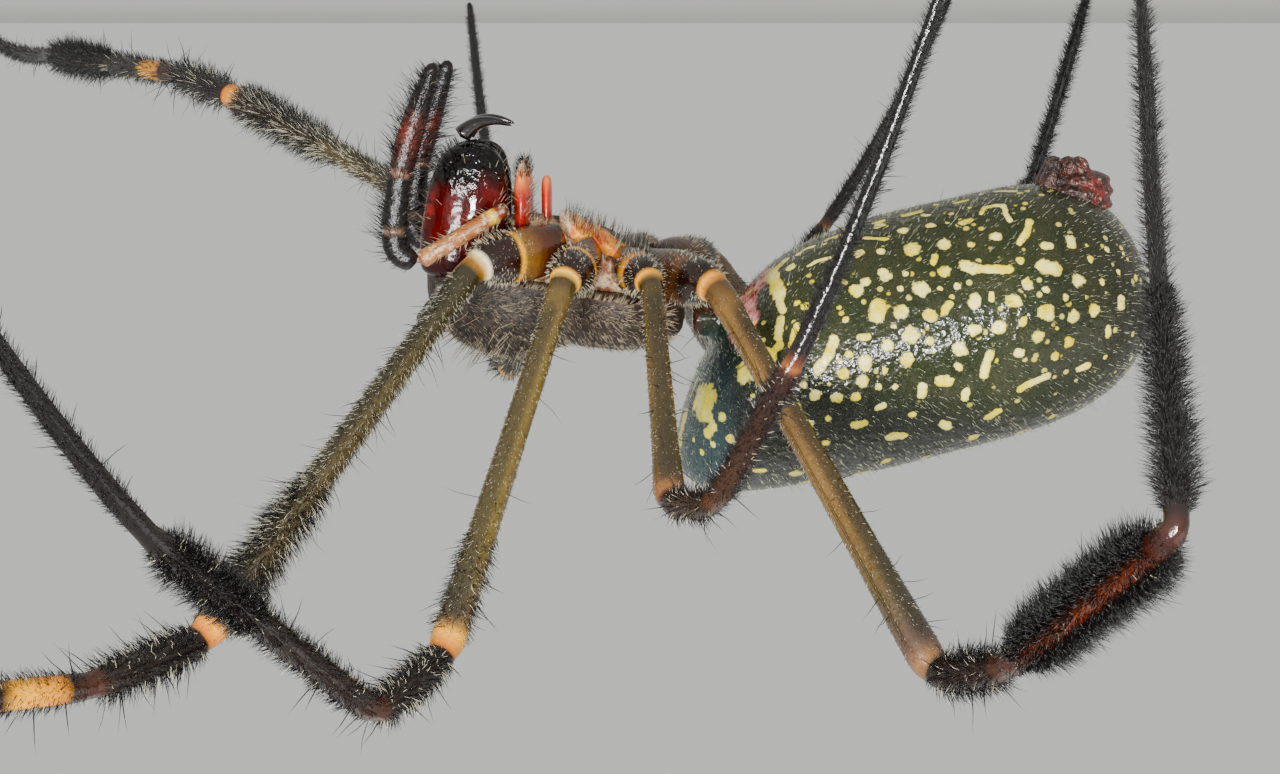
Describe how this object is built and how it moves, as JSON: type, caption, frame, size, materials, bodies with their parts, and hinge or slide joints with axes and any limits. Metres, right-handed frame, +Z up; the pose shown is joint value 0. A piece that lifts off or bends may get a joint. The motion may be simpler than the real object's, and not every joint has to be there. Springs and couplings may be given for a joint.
{
  "type": "golden silk orb weaver spider",
  "caption": "Life-size still model of a female golden silk orb weaver, standing on its feet with long arched legs and a long spotted abdomen.",
  "frame": {"origin": "on the floor, under the middle of the spider's bounding box", "axes": "+Z up, the spider faces -Y, its left side is towards +X"},
  "size_m": [0.075, 0.0606, 0.0233],
  "materials": {
    "carapace": "dark brown chitin under short pale hair, satin",
    "sternum": "orange chitin with a black middle and a cream front margin, glossy",
    "abdomen": "dark olive green to black skin with rows of round yellow spots, satin",
    "waist": "pink to red soft skin, moist satin",
    "spinnerets": "brown red, glossy",
    "mouthparts": "orange red chitin with pale tips, glossy",
    "eyes": "black, wet gloss",
    "chelicerae": "deep wine red to black chitin, high gloss",
    "fangs": "black, high gloss",
    "palp_femora": "tan to pink orange, satin",
    "palps": "black with stiff black bristles, satin",
    "coxae": "brown chitin with orange yellow rings, glossy",
    "femora": "amber olive brown, glossy, with an orange yellow ring at the knee",
    "dark_legs": "dark brown to black with black brushes and spines, satin",
    "leg_tips": "black, satin"
  },
  "bodies": {
    "root": {"carapace": "carapace", "sternum": "sternum", "abdomen": "abdomen", "pedicel": "waist", "spinnerets": "spinnerets", "labium": "mouthparts", "eyes_median": "eyes", "eyes_lateral_R": "eyes", "chelicera_R": "chelicerae", "fang_R": "fangs", "endite_R": "mouthparts", "palp_R_femur": "palp_femora", "palp_R_tarsus": "palps", "leg_R1_coxa": "coxae", "leg_R1_femur": "femora", "leg_R1_patella": "dark_legs", "leg_R1_tibia": "dark_legs", "leg_R1_metatarsus": "leg_tips", "leg_R2_coxa": "coxae", "leg_R2_femur": "femora", "leg_R2_patella": "dark_legs", "leg_R2_tibia": "dark_legs", "leg_R2_metatarsus": "leg_tips", "leg_R3_coxa": "coxae", "leg_R3_femur": "femora", "leg_R3_patella": "dark_legs", "leg_R3_tibia": "dark_legs", "leg_R3_metatarsus": "leg_tips", "leg_R4_coxa": "coxae", "leg_R4_femur": "femora", "leg_R4_patella": "dark_legs", "leg_R4_tibia": "dark_legs", "leg_R4_metatarsus": "leg_tips", "eyes_lateral_L": "eyes", "chelicera_L": "chelicerae", "fang_L": "fangs", "endite_L": "mouthparts", "palp_L_femur": "palp_femora", "palp_L_tarsus": "palps", "leg_L1_coxa": "coxae", "leg_L1_femur": "femora", "leg_L1_patella": "dark_legs", "leg_L1_tibia": "dark_legs", "leg_L1_metatarsus": "leg_tips", "leg_L2_coxa": "coxae", "leg_L2_femur": "femora", "leg_L2_patella": "dark_legs", "leg_L2_tibia": "dark_legs", "leg_L2_metatarsus": "leg_tips", "leg_L3_coxa": "coxae", "leg_L3_femur": "femora", "leg_L3_patella": "dark_legs", "leg_L3_tibia": "dark_legs", "leg_L3_metatarsus": "leg_tips", "leg_L4_coxa": "coxae", "leg_L4_femur": "femora", "leg_L4_patella": "dark_legs", "leg_L4_tibia": "dark_legs", "leg_L4_metatarsus": "leg_tips"}
  },
  "joints": []
}
